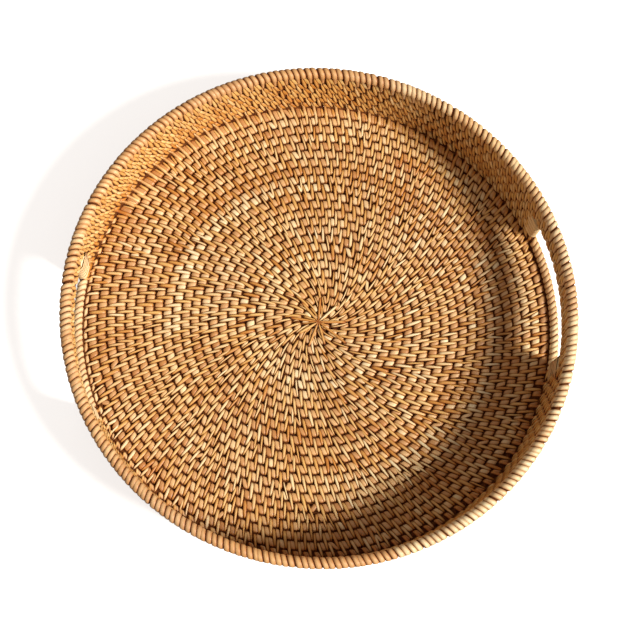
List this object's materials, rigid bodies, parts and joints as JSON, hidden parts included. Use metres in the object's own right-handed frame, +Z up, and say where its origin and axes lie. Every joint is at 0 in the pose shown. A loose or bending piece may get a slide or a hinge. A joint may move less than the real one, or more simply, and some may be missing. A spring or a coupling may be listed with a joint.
{
  "type": "serving tray",
  "caption": "Round coiled-rattan serving tray with a flat spiral floor, a low upright wall, two hand slots and a thick wrapped rim.",
  "frame": {"origin": "in the resting plane, below the centre of the floor", "axes": "+Z up out of the tray, the two hand slots face +X and -X"},
  "size_m": [0.3997, 0.3998, 0.0588],
  "materials": {
    "core_cane": "round rattan core cane, matt and slightly fibrous, stained in the gaps",
    "peel_binding": "split rattan peel wound in close stitches, honey tan with brown strands, satin",
    "rim_peel": "split rattan peel wound edge to edge, pale honey, satin",
    "smooth_peel": "wide flat rattan peel, pale straw, smooth with fine lengthwise fibres"
  },
  "bodies": {
    "root": {"start_star": "smooth_peel", "floor_core_1": "core_cane", "floor_core_2": "core_cane", "floor_core_3": "core_cane", "floor_core_4": "core_cane", "floor_core_5": "core_cane", "floor_binding_1": "peel_binding", "floor_binding_2": "peel_binding", "floor_binding_3": "peel_binding", "floor_binding_4": "peel_binding", "floor_binding_5": "peel_binding", "floor_coil_tail": "peel_binding", "wall_core_1": "core_cane", "wall_core_2_front": "core_cane", "wall_core_2_back": "core_cane", "wall_core_3_front": "core_cane", "wall_core_3_back": "core_cane", "wall_core_4_front": "core_cane", "wall_core_4_back": "core_cane", "wall_core_5": "core_cane", "wall_core_6": "core_cane", "wall_binding_1_front": "peel_binding", "wall_binding_1_back": "peel_binding", "wall_binding_2_front": "peel_binding", "wall_binding_2_back": "peel_binding", "wall_binding_3_front": "peel_binding", "wall_binding_3_back": "peel_binding", "wall_binding_4_front": "peel_binding", "wall_binding_4_back": "peel_binding", "wall_binding_5": "peel_binding", "wall_binding_6": "peel_binding", "slot_rail_wrap_right": "rim_peel", "slot_rail_wrap_left": "rim_peel", "slot_end_wrap_right_front": "smooth_peel", "slot_end_wrap_right_back": "smooth_peel", "slot_end_wrap_left_front": "smooth_peel", "slot_end_wrap_left_back": "smooth_peel", "rim_core": "core_cane", "rim_binding": "rim_peel"}
  },
  "joints": []
}
